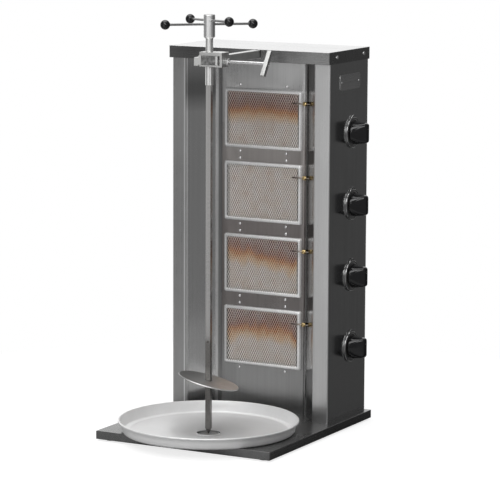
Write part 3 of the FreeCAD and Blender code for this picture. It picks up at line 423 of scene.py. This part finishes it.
def scorched_ceramic(name):
    """Perforated ceramic plaques: pale clay below, an orange band and a dark purple-brown scorched top."""
    s = Shader(name)
    x, z = s.axis("X"), s.axis("Z")
    burnt = s.ramp(scorch_level(s), [(0.0, (0.50, 0.43, 0.39)), (0.40, (0.52, 0.45, 0.41)),
                                     (0.57, (0.56, 0.40, 0.26)), (0.68, (0.36, 0.15, 0.06)),
                                     (0.78, (0.17, 0.08, 0.06)), (0.92, (0.12, 0.075, 0.075))])
    mottle = s.noise(130, 4.0, 0.65)
    burnt = s.mix(s.vary(mottle, 0.0, 0.35), burnt, s.mix(1.0, burnt, (0.72, 0.68, 0.66), "MULTIPLY"))
    row_pitch, column_pitch = 2.6 * MM, 3.0 * MM
    row = s.math("SINE", s.times(z, 2 * math.pi / row_pitch))
    column = s.math("SINE", s.times(x, 2 * math.pi / column_pitch))
    # the holes are painted near black: painted shade inside the perforations
    holes = s.span(s.times(row, column), 0.25, 0.6)
    s.set(Base_Color=s.mix(s.times(holes, 0.75), burnt, (0.03, 0.022, 0.02)), Roughness=0.9,
          Specular_IOR_Level=0.2)
    s.bump(s.math("SUBTRACT", s.times(mottle, 0.3), holes), 0.6, 0.0012)
    return s.material


def guard_wire(name):
    """Expanded stainless mesh, tinted here and there by heat and browned over the scorched parts."""
    s = Shader(name)
    tint = s.noise(45, 4.0, 0.6)
    speckle = s.noise(1500, 2.0)
    clean = s.ramp(tint, [(0.35, (1.0, 0.98, 0.96)), (0.6, (0.96, 0.90, 0.84)), (0.8, (0.78, 0.62, 0.54))])
    heat = s.ramp(scorch_level(s), [(0.0, grey(1.0)), (0.46, grey(1.0)), (0.58, (1.0, 0.86, 0.70)),
                                    (0.68, (0.92, 0.62, 0.44)), (0.78, (0.74, 0.56, 0.50)),
                                    (0.95, (0.86, 0.76, 0.74))])
    s.set(Base_Color=s.mix(1.0, clean, heat, "MULTIPLY"),
          Roughness=s.vary(speckle, 0.34, 0.46), Metallic=0.3)
    s.bump(speckle, 0.1, 0.0002)
    return s.material


def heated_probe(name):
    """Thermocouple sheath, dull and blued towards its tip."""
    s = Shader(name)
    speckle = s.noise(900, 3.0)
    near = s.span(s.axis("X"), BURNER_X + 0.085, BURNER_X + 0.112)
    s.set(Base_Color=s.mix(near, (0.07, 0.045, 0.04), (0.42, 0.38, 0.34)),
          Roughness=s.vary(speckle, 0.3, 0.5), Metallic=1.0)
    s.bump(speckle, 0.15, 0.0002)
    return s.material


MATERIALS = {
    "side": brushed_steel("side_panel_steel", grey(0.58), 0.17, "z", smudge=0.03, shade=wing_shade,
                          dull=column_dull),
    "lid": brushed_steel("lid_steel", grey(0.74), 0.26, "x", shade=lid_shade),
    "base": brushed_steel("base_steel", grey(0.54), 0.30, "y", shade=base_shade),
    "panel": brushed_steel("burner_panel_steel", grey(0.62), 0.33, "z", shade=heat_stain_and_strip_light),
    "trim": pressed_trim("burner_frame_steel", grey(0.98)),
    "galvanised": machined_metal("galvanised_sheet", (0.55, 0.56, 0.57), 0.42, 90, 0.15),
    "spit": brushed_steel("spit_steel", (0.34, 0.335, 0.33), 0.26, "z", streak=0.10, shade=spit_shade),
    "journal": machined_metal("journal_steel", (0.88, 0.88, 0.87), 0.38, 900),
    "hub": machined_metal("hub_steel", grey(0.84), 0.38, 900, shade=hub_shade),
    "rods": machined_metal("rod_steel", grey(0.66), 0.28, 900),
    "handle": machined_metal("handle_rod_steel", grey(0.40), 0.30, 900),
    "clamp": machined_metal("clamp_steel", (0.70, 0.70, 0.69), 0.34, 700, 0.08, 0.15),
    "jaw": machined_metal("jaw_steel", (0.78, 0.78, 0.77), 0.36, 700, 0.08, 0.15, jaw_shade),
    "tee": machined_metal("tee_steel", (0.66, 0.66, 0.65), 0.38, 700, 0.06),
    "disc": machined_metal("disc_steel", (0.66, 0.66, 0.65), 0.34, 600, 0.08, 0.15, disc_shade),
    "pivot": machined_metal("pivot_steel", grey(0.40), 0.30, 300, 0.10, 0.4),
    "pan": spun_aluminium("spun_aluminium", grey(0.94)),
    "iron": gritty("cast_iron", (0.06, 0.055, 0.052), 0.62, 520, 0.4),
    "bright": machined_metal("bright_screw_steel", grey(0.86), 0.16, 600),
    "brass": machined_metal("brass", (0.74, 0.56, 0.28), 0.24, 420, 0.10, 0.3),
    "probe": heated_probe("heated_probe_steel"),
    "pipe": machined_metal("aluminium_tube", grey(0.72), 0.32, 420),
    "manifold": gritty("manifold_paint", (0.030, 0.030, 0.032), 0.45, 300, 0.0, 0.2),
    "knob": glossy_plastic("knob_plastic", (0.005, 0.005, 0.006), 0.10),
    "ball": glossy_plastic("ball_plastic", (0.004, 0.004, 0.005), 0.08),
    "bezel": dished_steel("bezel_steel"),
    "chrome": machined_metal("chromed_ring", grey(0.62), 0.18, 500),
    "mark": paint("dial_mark_paint", (0.75, 0.75, 0.74), 0.45),
    "plate": brushed_steel("blank_plate_steel", grey(0.66), 0.30, "y"),
    "rubber": gritty("foot_rubber", grey(0.025), 0.78, 700, 0.0, 0.3),
    "ceramic": scorched_ceramic("scorched_ceramic"),
    "guard": guard_wire("guard_mesh_steel"),
}


def each(name):
    """The four nodes of a name that ends in a burner's number."""
    return ["%s_%d" % (name, n) for n in BURNERS]


WEARS = {
    "side": ["left_side_panel", "right_side_panel", "back_panel"],
    "lid": ["top_lid"],
    "base": ["base_tray"],
    "panel": ["burner_panel", "panel_sides"],
    "trim": each("burner_frame"),
    "galvanised": ["heat_shield"],
    "spit": ["spit_bar"],
    "journal": ["spit_journal"],
    "hub": ["handle_hub"],
    "handle": ["handle_rods"],
    "rods": ["disc_pin", "clamp_screw", *each("valve_spindle")],
    "clamp": ["support_arm", "clamp_yoke"],
    "jaw": ["clamp_jaw"],
    "tee": ["tee_bar"],
    "disc": ["meat_disc"],
    "pivot": ["pivot_cup", "pivot_post"],
    "pan": ["drip_pan"],
    "iron": each("burner_body"),
    "bright": ["cover_screws", "burner_screws", "clamp_nut"],
    "brass": ["thermocouple_nuts", "gas_injectors", "gas_inlet_fitting", "gas_valves",
              *each("valve_plunger")],
    "probe": ["thermocouple_probes", "thermocouple_leads"],
    "pipe": ["burner_pipes"],
    "manifold": ["gas_manifold"],
    "knob": each("knob"),
    "ball": ["ball_knobs"],
    "bezel": ["knob_bezels"],
    "plate": ["name_plate"],
    "rubber": ["rubber_feet"],
    "ceramic": ["ceramic_plaques"],
    "guard": ["mesh_guards"],
}

# radius, in millimetres, that breaks the sharp edges of a node
EDGES = {
    "base_tray": 0.9, "top_lid": 0.9, "support_arm": 0.9, "clamp_yoke": 0.9, "clamp_jaw": 0.9, "tee_bar": 0.9,
    "handle_hub": 0.7, "spit_bar": 0.6, "clamp_nut": 0.6, "spit_journal": 0.5, "meat_disc": 0.5,
    "name_plate": 0.4, "disc_pin": 0.4,
}


def soften(obj, width_mm, limit=28):
    """Weld, round and shade a mesh so that its flat faces stay flat."""
    weld = obj.modifiers.new("weld", "WELD")
    weld.merge_threshold = 2e-6
    if width_mm:
        bevel = obj.modifiers.new("round", "BEVEL")
        bevel.width = width_mm * MM
        bevel.segments = 3
        bevel.limit_method = "ANGLE"
        bevel.angle_limit = math.radians(limit)
    obj.data.shade_smooth()
    obj.data.set_sharp_from_angle(angle=math.radians(limit))
    weigh = obj.modifiers.new("flatten", "WEIGHTED_NORMAL")
    weigh.keep_sharp = True
    weigh.weight = 100


def dress_cad():
    """Give every CAD node its material and its softened edges."""
    for key, names in WEARS.items():
        for name in names:
            obj = NODES[name]
            obj.data.materials.clear()
            obj.data.materials.append(MATERIALS[key])
            soften(obj, EDGES.get(name, 0))


# ---------------------------------------------------------------- pieces that replace plain CAD nodes

def piece(name, bm, body, slot, *keys, limit=35, replaces=()):
    """Turn a bmesh into a finished piece that rides on a body."""
    mesh = bpy.data.meshes.new(name)
    bmesh.ops.recalc_face_normals(bm, faces=bm.faces)
    bm.to_mesh(mesh)
    bm.free()
    obj = bpy.data.objects.new(name, mesh)
    COLLECTION.objects.link(obj)
    for key in keys:
        mesh.materials.append(MATERIALS[key])
    mesh.shade_smooth()
    mesh.set_sharp_from_angle(angle=math.radians(limit))
    if replaces:
        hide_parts(*replaces)
    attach(obj, body)


def ring_of(bm, centre, side, other, radius, steps):
    """New vertices round a centre, in the plane of two directions."""
    turn = [2 * math.pi * i / steps for i in range(steps)]
    return [bm.verts.new(centre + (side * math.cos(a) + other * math.sin(a)) * radius) for a in turn]


def join(bm, one, two, material=0):
    """Faces between two rings with the same number of vertices."""
    for i in range(len(one)):
        j = (i + 1) % len(one)
        bm.faces.new((one[i], one[j], two[j], two[i])).material_index = material


def lathe(bm, profile, centre, direction, steps=72, material=0):
    """Spin (radius, height) points, in millimetres, round a direction through a centre, in metres."""
    along_axis = Vector(direction).normalized()
    side = along_axis.orthogonal().normalized()
    other = along_axis.cross(side)
    rings = []
    for radius, height in profile:
        base = Vector(centre) + along_axis * height * MM
        if radius < 1e-6:
            rings.append([bm.verts.new(base)])
            continue
        rings.append(ring_of(bm, base, side, other, radius * MM, steps))
    for one, two in zip(rings, rings[1:]):
        for i in range(steps):
            j = (i + 1) % steps
            corners = [one[i % len(one)], one[j % len(one)], two[j % len(two)], two[i % len(two)]]
            unique = list(dict.fromkeys(corners))
            if len(unique) > 2:
                bm.faces.new(unique).material_index = material


def arc(centre_r, centre_h, radius, start, stop, steps=6):
    """Profile points on an arc, with angles in degrees from the outward direction towards the far end."""
    for i in range(steps + 1):
        a = math.radians(start + (stop - start) * i / steps)
        yield centre_r + radius * math.cos(a), centre_h + radius * math.sin(a)


def rounded_bar(bm, centre, size, corner, material=0):
    """A block with all its edges rounded."""
    place = Matrix.Translation(centre) @ Matrix.Diagonal((*size, 1))
    made = bmesh.ops.create_cube(bm, size=1.0, matrix=place)
    edges = list(dict.fromkeys(e for v in made["verts"] for e in v.link_edges))
    for vertex in made["verts"]:
        for face in vertex.link_faces:
            face.material_index = material
    bmesh.ops.bevel(bm, geom=edges, offset=corner, segments=3, profile=0.5, affect="EDGES", material=material)


def make_knob(n):
    """Tapered control knob: round behind, with two slanting cheeks that leave an upright grip at its end."""
    low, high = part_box("knob_%d" % n)
    radius = (high[2] - low[2]) / 2 / MM
    length = (high[0] - low[0]) / MM
    centre = Vector((low[0], (low[1] + high[1]) / 2, (low[2] + high[2]) / 2))
    end, grip = 22.5, 7.8            # half height and half width at the far end
    cheek_from, edge = 4.0, 5        # where the cheeks begin, and the rounding of the far edge
    blend = 9.0                      # how sharply cheek and round meet
    # (distance from the bezel, how far the skin lies outside the plain taper)
    stations = [(0, -0.8), (0.3, -0.2), (0.8, 0), (2.4, 0), (4.2, 0)]
    stations += [(edge + (length - 2 * edge) * k / 14, 0) for k in range(15)]
    for degrees in range(8, 91, 9):
        t = math.radians(degrees)
        stations.append((length - edge * (1 - math.sin(t)), -edge * (1 - math.cos(t))))
    bm = bmesh.new()
    steps = 120
    rings = []
    for x, outset in stations:
        taper = radius + (end - radius) * max(0.0, x - edge) / (length - edge) + outset
        cheek = radius + (grip - radius) * max(0.0, x - cheek_from) / (length - cheek_from) + outset * 0.7
        ring = []
        for i in range(steps):
            a = 2 * math.pi * i / steps
            flat = cheek / max(0.02, abs(math.sin(a)))
            soft = (taper ** -blend + flat ** -blend) ** (-1 / blend) if x > cheek_from else taper
            ring.append(bm.verts.new(centre + Vector((x, soft * math.sin(a), soft * math.cos(a))) * MM))
        rings.append(ring)
    for one, two in zip(rings, rings[1:]):
        join(bm, one, two)
    bm.faces.new(rings[0])
    tip = bm.verts.new(centre + Vector(((length - 0.25) * MM, 0, 0)))
    for i in range(steps):
        bm.faces.new((rings[-1][i], rings[-1][(i + 1) % steps], tip))
    mark = centre + Vector((length - 0.35, 0, end - 10.5)) * MM
    rounded_bar(bm, mark, (0.5 * MM, 1.6 * MM, 8 * MM), 0.2 * MM, 1)
    piece("control_knob_%d" % n, bm, "knob_%d" % n, "knob_black", "knob", "mark", limit=50,
          replaces=["knob_%d" % n])


def make_bezels():
    """Dished steel discs behind the knobs, each with a thin bright rim and a pointer at the top."""
    low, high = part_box("knob_bezels")
    bm = bmesh.new()
    thick = (high[0] - low[0]) / MM
    radius = (high[1] - low[1]) / 2 / MM
    steps = 96
    wire = 0.95                      # radius of the rim's and the pointer's wire
    pointer_top = 41.8
    seat_lip = arc(29.6, thick - 1.8, 0.9, 60, 180, 4)
    dish = [(radius - 2.2, 0), (radius - 0.4, 0), (radius - 0.4, thick - 2.6), (radius - 3, thick - 1.6),
            (30.4, thick - 1.2), *seat_lip, (28.4, 1.2), (0, 1.2)]
    rim = [(radius - 1.0 + x, thick - 1.6 + y) for x, y in arc(0, 0, wire, 0, 360, 10)]
    for n in BURNERS:
        knob_low, knob_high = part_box("knob_%d" % n)
        centre = Vector((low[0], (knob_low[1] + knob_high[1]) / 2, (knob_low[2] + knob_high[2]) / 2))
        lathe(bm, dish, centre, (1, 0, 0), steps, 0)
        lathe(bm, rim, centre, (1, 0, 0), steps, 1)
        for side in (-1, 1):
            points = [Vector((thick - 2.4, side * 13.0, radius - 3.4)),
                      Vector((thick - 2.0, side * 6.5, radius + 2.6)), Vector((thick - 1.8, 0, pointer_top))]
            tube(bm, [centre + at * MM for at in points], wire * MM, 1)
    piece("dial_bezels", bm, "housing", "bezel_black", "bezel", "chrome", replaces=["knob_bezels"])


def tube(bm, points, radius, material=0, steps=10):
    """A round rod through a list of points, closed at its ends."""
    rings = []
    for k, at in enumerate(points):
        run = (points[min(k + 1, len(points) - 1)] - points[max(k - 1, 0)]).normalized()
        side = run.orthogonal().normalized() if not rings else (side - run * side.dot(run)).normalized()
        rings.append(ring_of(bm, at, side, run.cross(side), radius, steps))
    for one, two in zip(rings, rings[1:]):
        join(bm, one, two, material)
    for ring in (rings[0], rings[-1]):
        bm.faces.new(ring).material_index = material


def make_balls():
    """Four ball ends on the crossed rods, with a small collar where the rod goes in and a moulding line."""
    radius = 11.0
    reach = 107.5 * MM
    skin = list(arc(0, 0, radius, -65, 90, 31))
    seam = [(r + (0.12 if abs(h) < 0.5 else 0), h) for r, h in skin]
    collar = [(2.9, -10.6), (4.2, -10.6), (4.6, -10.1)]
    bm = bmesh.new()
    # height of each rod's middle, its direction in plan and its dip, as in the CAD
    for tier, degrees, dip in ((954.3 * MM, 53, -0.8), (963.0 * MM, 143, -1.95)):
        a, tilt = math.radians(degrees), math.radians(dip)
        run = Vector((math.cos(a) * math.cos(tilt), math.sin(a) * math.cos(tilt), math.sin(tilt)))
        for out in (run, -run):
            centre = Vector((SPIT_X, SPIT_Y, tier)) + out * reach
            lathe(bm, collar + seam, centre, out, 48)
    piece("ball_ends", bm, "spit", "ball_black", "ball", replaces=["ball_knobs"])


def rounded_rectangle(wide, tall, corner):
    """Points round a rectangle with round corners, given by its half width, half height and corner radius."""
    for quarter, (sx, sz) in enumerate(((1, 1), (-1, 1), (-1, -1), (1, -1))):
        for k in range(7):
            a = math.radians(90 * quarter + 15 * k)
            yield (wide - corner) * sx + corner * math.cos(a), (tall - corner) * sz + corner * math.sin(a)


def make_frame(n):
    """Pressed trim frame: a rounded rectangular ring whose face swells between its outer and inner edges."""
    low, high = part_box("burner_frame_%d" % n)
    half_wide, half_tall = (high[0] - low[0]) / 2 / MM, (high[2] - low[2]) / 2 / MM
    back = (high[1] - low[1]) / MM
    # (distance in from the outer edge, depth behind the front), once round the section
    section = [(0.0, back), (0.0, 4.6), (0.5, 3.0), (1.6, 1.3), (3.0, 0.3), (4.4, 0.0), (5.8, 0.3),
               (7.0, 1.2), (7.8, 2.6), (8.0, 4.6), (7.2, 4.8), (6.4, 2.6), (4.4, 1.4), (2.0, 3.2),
               (1.3, back)]
    middle = Vector(((low[0] + high[0]) / 2, low[1], (low[2] + high[2]) / 2))
    bm = bmesh.new()
    loops = []
    for inset, depth in section:
        corner = max(4.5 - inset * 0.1, 3.4)
        outline = rounded_rectangle(half_wide - inset, half_tall - inset, corner)
        loops.append([bm.verts.new(middle + Vector((x, depth, z)) * MM) for x, z in outline])
    for one, two in zip(loops, loops[1:] + loops[:1]):
        join(bm, one, two)
    piece("pressed_frame_%d" % n, bm, "housing", "steel_trim", "trim", limit=60,
          replaces=["burner_frame_%d" % n])


def strand(bm, points, wide, thick):
    """A flat strip of metal through a list of points in a plane that faces -y."""
    last = None
    for k, at in enumerate(points):
        before, after = points[max(k - 1, 0)], points[min(k + 1, len(points) - 1)]
        run = (after - before).normalized()
        across = Vector((-run.z, 0, run.x)) * wide / 2
        depth = Vector((0, thick / 2, 0))
        corners = (at + across - depth * 0.4, at - depth, at - across, at + depth)
        ring = [bm.verts.new(corner) for corner in corners]
        if last:
            join(bm, last, ring)
        last = ring


def make_guards():
    """Expanded metal over each burner: upright zigzag strands that meet at their corners."""
    wide, tall = 5.8 * MM, 11.0 * MM    # one diamond
    margin_x, margin_z = 0.6 * MM, 0.4 * MM
    swing = 0.46                        # how far a strand leans each way, in steps
    one_guard = GUARD_HIGH[2] - GUARD_LOW[2] - (BURNER_Z[0] - BURNER_Z[-1])
    half_x = (GUARD_HIGH[0] - GUARD_LOW[0]) / 2 - margin_x
    half_z = one_guard / 2 - margin_z
    y = (GUARD_LOW[1] + GUARD_HIGH[1]) / 2
    columns = int(2 * half_x / (wide / 2))
    rows = int(2 * half_z / (tall / 2))
    step_x, step_z = 2 * half_x / columns, 2 * half_z / rows
    bm = bmesh.new()
    for centre in BURNER_Z:
        for column in range(columns):
            middle = BURNER_X - half_x + (column + 0.5) * step_x
            points = []
            for k in range(rows + 1):
                lean = swing if (k + column) % 2 else -swing
                points.append(Vector((middle + lean * step_x, y, centre - half_z + k * step_z)))
            strand(bm, points, 1.2 * MM, 1.4 * MM)
    piece("guard_mesh", bm, "housing", "mesh_wire", "guard", replaces=["mesh_guards"])


# ---------------------------------------------------------------- stage, light and camera

def camera_only(tree, seen, unseen):
    """Mix two shaders: one that the camera sees directly, and one that lights and reflections meet."""
    mix = tree.nodes.new("ShaderNodeMixShader")
    path = tree.nodes.new("ShaderNodeLightPath")
    tree.links.new(path.outputs["Is Camera Ray"], mix.inputs[0])
    tree.links.new(unseen, mix.inputs[1])
    tree.links.new(seen, mix.inputs[2])
    return mix.outputs[0]


def make_floor():
    """Pale round floor: near white to the eye; grey in reflections, with a dark patch beside the knobs."""
    bm = bmesh.new()
    bmesh.ops.create_circle(bm, cap_ends=True, radius=1.1, segments=96)
    mesh = bpy.data.meshes.new("floor")
    bm.to_mesh(mesh)
    bm.free()
    floor = bpy.data.objects.new("floor", mesh)
    COLLECTION.objects.link(floor)
    s = Shader("floor_pale")
    s.set(Base_Color=s.mix(s.vary(s.noise(40)), grey(0.36), grey(0.40)),
          Roughness=0.9, Specular_IOR_Level=0.1, Emission_Color=grey(1.0), Emission_Strength=0.78)
    dull = s.node("ShaderNodeBsdfDiffuse")
    x, y = s.axis("X"), s.axis("Y")
    near_or_behind = s.math("MAXIMUM", s.span(y, -0.05, 0.10), s.span(x, 0.28, 0.36, 1, 0))
    beside_knobs = s.times(s.span(x, 0.19, 0.22), s.span(y, -0.40, -0.20))
    patch = s.times(near_or_behind, beside_knobs)
    s.link(s.mix(patch, grey(0.45), grey(0.09)), dull.inputs["Color"])
    s.link(camera_only(s.tree, s.bsdf.outputs[0], dull.outputs[0]), s.out.inputs[0])
    mesh.materials.append(s.material)


# bright and dim regions of the surround: direction, the cosines where each begins and is full, and the
# brightness outside and inside; the regions multiply each other
LOBES = [
    ((-0.45, 0.87, 0.25), 0.50, 0.95, 0.30, 1.30),
    ((0.62, 0.78, -0.1), 0.50, 0.93, 1.0, 0.28),
    ((0.95, -0.25, -0.1), 0.30, 0.90, 1.0, 1.05),
]


def make_world():
    """White surround for the eye; for reflections, bright at the back left and dim at the back right."""
    world = bpy.data.worlds.new("studio")
    bpy.context.scene.world = world
    world.use_nodes = True
    tree = world.node_tree
    tree.nodes.clear()
    out = tree.nodes.new("ShaderNodeOutputWorld")
    where = tree.nodes.new("ShaderNodeTexCoord").outputs["Generated"]
    level = None
    for direction, low, high, outside, inside in LOBES:
        dot = tree.nodes.new("ShaderNodeVectorMath")
        dot.operation = "DOT_PRODUCT"
        dot.inputs[1].default_value = Vector(direction).normalized()
        tree.links.new(where, dot.inputs[0])
        made = tree.nodes.new("ShaderNodeMapRange")
        made.interpolation_type = "SMOOTHSTEP"
        for key, number in (("From Min", low), ("From Max", high), ("To Min", outside), ("To Max", inside)):
            made.inputs[key].default_value = number
        tree.links.new(dot.outputs["Value"], made.inputs["Value"])
        if level is None:
            level = made.outputs[0]
            continue
        product = tree.nodes.new("ShaderNodeMath")
        product.operation = "MULTIPLY"
        tree.links.new(level, product.inputs[0])
        tree.links.new(made.outputs[0], product.inputs[1])
        level = product.outputs[0]
    surround = tree.nodes.new("ShaderNodeBackground")
    tree.links.new(level, surround.inputs["Strength"])
    white = tree.nodes.new("ShaderNodeBackground")
    white.inputs["Color"].default_value = (1, 1, 1, 1)
    tree.links.new(camera_only(tree, white.outputs[0], surround.outputs[0]), out.inputs[0])


# rectangular lights: name, place, what it aims at, width, height, and brightness
LAMPS = [
    ("front_left", (-0.16, -1.35, 0.50), (-0.16, 0.0, 0.50), 0.94, 1.3, 0.66),
    ("beside_camera", (2.9, -3.6, 1.9), (0, 0, 0.5), 1.5, 1.5, 3.0),
    ("front_high", (0.5, -2.3, 2.3), (0, 0, 0.4), 1.6, 1.2, 3.4),
    ("overhead", (-0.3, -0.3, 3.2), (0, 0, 0), 2.4, 2.4, 2.6),
]


def softbox(name, at, aim, wide, tall, glow):
    """Soft rectangular light that the camera itself doesn't see."""
    data = bpy.data.lights.new(name, "AREA")
    data.shape = "RECTANGLE"
    data.size, data.size_y = wide, tall
    data.energy = glow * math.pi * wide * tall
    lamp = bpy.data.objects.new(name, data)
    lamp.location = at
    lamp.rotation_mode = "QUATERNION"
    lamp.rotation_quaternion = (Vector(aim) - Vector(at)).to_track_quat("-Z", "Y")
    lamp.visible_camera = False
    COLLECTION.objects.link(lamp)


# the photo's camera, as fitted to the object's corners: place in metres, angles in degrees, lens in mm
CAMERA_AT = (2.99260, -5.50364, 1.40113)
CAMERA_YAW, CAMERA_PITCH, CAMERA_ROLL = 28.254, 8.859, 0.256
CAMERA_LENS = 197.5


def make_camera():
    """The camera that took the photo."""
    yaw, pitch, roll = (math.radians(turn) for turn in (CAMERA_YAW, CAMERA_PITCH, CAMERA_ROLL))
    forward = Vector((-math.sin(yaw) * math.cos(pitch), math.cos(yaw) * math.cos(pitch), -math.sin(pitch)))
    right = Vector((math.cos(yaw), math.sin(yaw), 0))
    up = right.cross(forward)
    right, up = right * math.cos(roll) + up * math.sin(roll), up * math.cos(roll) - right * math.sin(roll)
    data = bpy.data.cameras.new("camera")
    data.sensor_width = 36
    data.lens = CAMERA_LENS
    data.clip_end = 100
    camera = bpy.data.objects.new("camera", data)
    turn = Matrix((right, up, -forward)).transposed().to_4x4()
    camera.matrix_world = Matrix.Translation(CAMERA_AT) @ turn
    COLLECTION.objects.link(camera)
    bpy.context.scene.camera = camera


dress_cad()
for number in BURNERS:
    make_knob(number)
    make_frame(number)
make_bezels()
make_balls()
make_guards()
make_floor()
make_world()
for lamp in LAMPS:
    softbox(*lamp)
make_camera()
bpy.context.scene.view_settings.view_transform = "Standard"
